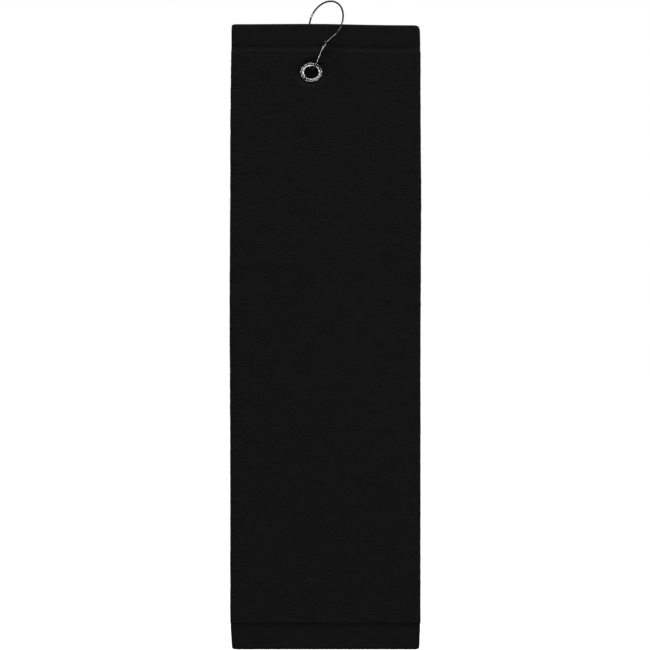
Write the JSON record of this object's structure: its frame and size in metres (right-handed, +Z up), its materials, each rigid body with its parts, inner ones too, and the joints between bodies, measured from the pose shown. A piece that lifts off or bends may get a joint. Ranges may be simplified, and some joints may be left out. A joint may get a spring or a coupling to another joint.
{
  "type": "golf towel",
  "caption": "Golf towel: terry cloth with its sides folded behind it, hung by a metal eyelet from a pear-shaped spring wire hook for a bag ring.",
  "frame": {"origin": "inside of the top of the wire hook, the point that rests on the bag ring or peg", "axes": "+Z up along the hanging towel, -Y out of the towel's front, +X to the right seen from the front"},
  "size_m": [0.1526, 0.0198, 0.5189],
  "materials": {
    "nickel": "bright nickel plate",
    "terry": "black cotton loop pile on both faces",
    "hem": "black flat-woven cotton band, turned over twice",
    "thread": "black polyester sewing thread",
    "label_tape": "blank white woven tape"
  },
  "bodies": {
    "hook": {"hook_body_wire": "nickel"},
    "gate": {"hook_spring_arm": "nickel"},
    "towel": {"front_panel": "terry", "front_top_hem": "hem", "front_top_hem_stitching": "thread", "front_bottom_hem": "hem", "front_bottom_hem_stitching": "thread", "eyelet_face": "nickel", "eyelet_washer": "nickel"},
    "left_flap": {"left_flap": "terry", "left_flap_top_hem": "hem", "left_flap_top_hem_stitching": "thread", "left_flap_bottom_hem": "hem", "left_flap_bottom_hem_stitching": "thread", "left_flap_side_hem": "hem", "left_flap_side_hem_stitching": "thread"},
    "right_flap": {"right_flap": "terry", "right_flap_top_hem": "hem", "right_flap_top_hem_stitching": "thread", "right_flap_bottom_hem": "hem", "right_flap_bottom_hem_stitching": "thread", "right_flap_side_hem": "hem", "right_flap_side_hem_stitching": "thread", "care_label": "label_tape"}
  },
  "joints": [
    {"name": "gate_spring", "type": "hinge", "parent": "hook", "child": "gate", "pos_m": [0.01, -0.00439, -0.00785], "axis": [-0.4251, -0.8581, 0.288], "range_deg": [0, 14], "stiffness_Nm_per_rad": 0.02},
    {"name": "towel_swing", "type": "hinge", "parent": "hook", "child": "towel", "pos_m": [-0.01489, -0.00065, -0.0515], "axis": [0, 1, 0], "range_deg": [-20, 20]},
    {"name": "left_fold", "type": "hinge", "parent": "towel", "child": "left_flap", "pos_m": [-0.07998, 0.00235, -0.2676], "axis": [0, 0, 1], "range_deg": [0, 175]},
    {"name": "right_fold", "type": "hinge", "parent": "towel", "child": "right_flap", "pos_m": [0.0726, 0.00235, -0.2676], "axis": [0, 0, -1], "range_deg": [0, 175]}
  ]
}
